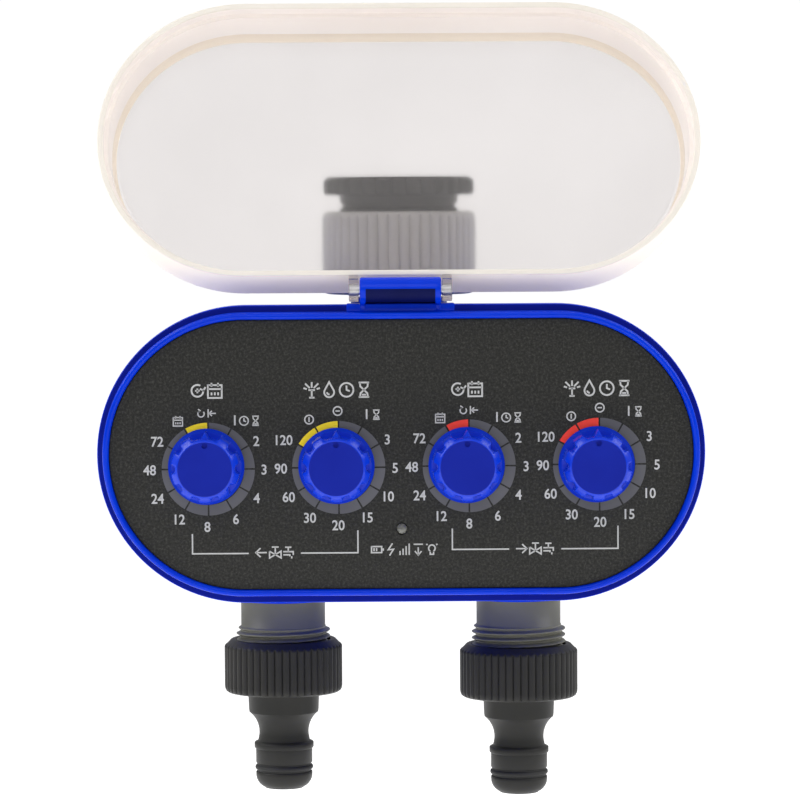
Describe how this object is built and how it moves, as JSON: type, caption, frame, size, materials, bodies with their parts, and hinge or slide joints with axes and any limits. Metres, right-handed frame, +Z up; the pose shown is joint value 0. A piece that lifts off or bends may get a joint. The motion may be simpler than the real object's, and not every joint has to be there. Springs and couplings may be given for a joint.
{
  "type": "drip irrigation timer",
  "caption": "Stadium-shaped hose watering timer with dials under a hinged translucent tray lid, a swivel inlet above and hose nipples on threaded outlets below.",
  "frame": {"origin": "centre of the inlet mouth, on the top face of the reducer that the tap screws into", "axes": "+Z up out of the inlet, -Y out of the dials' faces, +X to the right when facing the dials"},
  "size_m": [0.1632, 0.0903, 0.2206],
  "materials": {
    "shell_plastic": "glossy",
    "knob_plastic": "semi-gloss",
    "panel_film": "fine speckle",
    "lid_plastic": "frosted translucent",
    "pipe_plastic": "satin",
    "fitting_plastic": "satin",
    "seal_rubber": "matte",
    "steel": "brushed",
    "brass": "machined",
    "board_laminate": "solder mask",
    "black_plastic": "matte",
    "gear_nylon": "satin",
    "cell_jacket": "satin",
    "led_lens": "clear"
  },
  "bodies": {
    "housing": {"front_shell": "shell_plastic", "rear_shell": "shell_plastic", "housing_gasket": "seal_rubber", "control_panel": "panel_film", "circuit_board": "board_laminate", "board_components": "black_plastic", "rotary_switches": "black_plastic", "indicator_led": "led_lens", "housing_screws": "steel", "board_screws": "steel", "drive_plate": "black_plastic", "drive_plate_screws": "steel", "battery_tray": "black_plastic", "battery_contacts": "steel", "battery_cells": "cell_jacket", "battery_door_seal": "seal_rubber", "water_manifold": "pipe_plastic", "outlet_pipe_left": "pipe_plastic", "outlet_pipe_right": "pipe_plastic", "ball_seats_left": "gear_nylon", "ball_seats_right": "gear_nylon", "stem_seals": "seal_rubber", "gear_motor_left": "steel", "gear_motor_right": "steel", "swivel_washer": "seal_rubber", "inlet_reducer": "fitting_plastic", "inlet_washer": "seal_rubber", "inlet_filter": "steel", "outlet_adapter_left": "fitting_plastic", "outlet_adapter_right": "fitting_plastic", "outlet_washers": "seal_rubber", "nipple_seals": "seal_rubber", "hinge_pin": "steel"},
    "lid": {"lid": "lid_plastic"},
    "inlet_nut": {"swivel_nut": "pipe_plastic"},
    "battery_door": {"battery_door": "shell_plastic", "battery_door_screw": "steel"},
    "knob_1": {"knob_1": "knob_plastic", "dial_shaft_1": "steel"},
    "knob_2": {"knob_2": "knob_plastic", "dial_shaft_2": "steel"},
    "knob_3": {"knob_3": "knob_plastic", "dial_shaft_3": "steel"},
    "knob_4": {"knob_4": "knob_plastic", "dial_shaft_4": "steel"},
    "valve_left": {"valve_ball_left": "steel", "valve_stem_left": "brass", "drive_gear_left": "gear_nylon"},
    "motor_left": {"motor_pinion_left": "brass"},
    "valve_right": {"valve_ball_right": "steel", "valve_stem_right": "brass", "drive_gear_right": "gear_nylon"},
    "motor_right": {"motor_pinion_right": "brass"}
  },
  "joints": [
    {"name": "lid_hinge", "type": "hinge", "parent": "housing", "child": "lid", "pos_m": [0, -0.053, -0.0301], "axis": [1, 0, 0], "range_deg": [0, 202]},
    {"name": "inlet_nut_turn", "type": "hinge", "parent": "housing", "child": "inlet_nut", "pos_m": [0, 0, -0.021], "axis": [0, 0, 1], "continuous": true},
    {"name": "battery_door_off", "type": "slide", "parent": "housing", "child": "battery_door", "axis": [0, 1, 0], "range_m": [0, 0.03]},
    {"name": "dial_1_turn", "type": "hinge", "parent": "housing", "child": "knob_1", "pos_m": [-0.0522, -0.056, -0.077], "axis": [0, -1, 0], "continuous": true},
    {"name": "dial_2_turn", "type": "hinge", "parent": "housing", "child": "knob_2", "pos_m": [-0.0174, -0.056, -0.077], "axis": [0, -1, 0], "continuous": true},
    {"name": "dial_3_turn", "type": "hinge", "parent": "housing", "child": "knob_3", "pos_m": [0.0174, -0.056, -0.077], "axis": [0, -1, 0], "continuous": true},
    {"name": "dial_4_turn", "type": "hinge", "parent": "housing", "child": "knob_4", "pos_m": [0.0522, -0.056, -0.077], "axis": [0, -1, 0], "continuous": true},
    {"name": "valve_left_turn", "type": "hinge", "parent": "housing", "child": "valve_left", "pos_m": [-0.0332, 0, -0.074], "axis": [0, -1, 0], "range_deg": [0, 90]},
    {"name": "motor_left_turn", "type": "hinge", "parent": "housing", "child": "motor_left", "pos_m": [-0.0552, -0.02, -0.074], "axis": [0, -1, 0], "continuous": true},
    {"name": "valve_right_turn", "type": "hinge", "parent": "housing", "child": "valve_right", "pos_m": [0.0332, 0, -0.074], "axis": [0, -1, 0], "range_deg": [0, 90]},
    {"name": "motor_right_turn", "type": "hinge", "parent": "housing", "child": "motor_right", "pos_m": [0.0552, -0.02, -0.074], "axis": [0, -1, 0], "continuous": true}
  ],
  "couplings": [
    {"joint": "motor_left_turn", "follows": "valve_left_turn", "ratio": -3},
    {"joint": "motor_right_turn", "follows": "valve_right_turn", "ratio": -3}
  ]
}
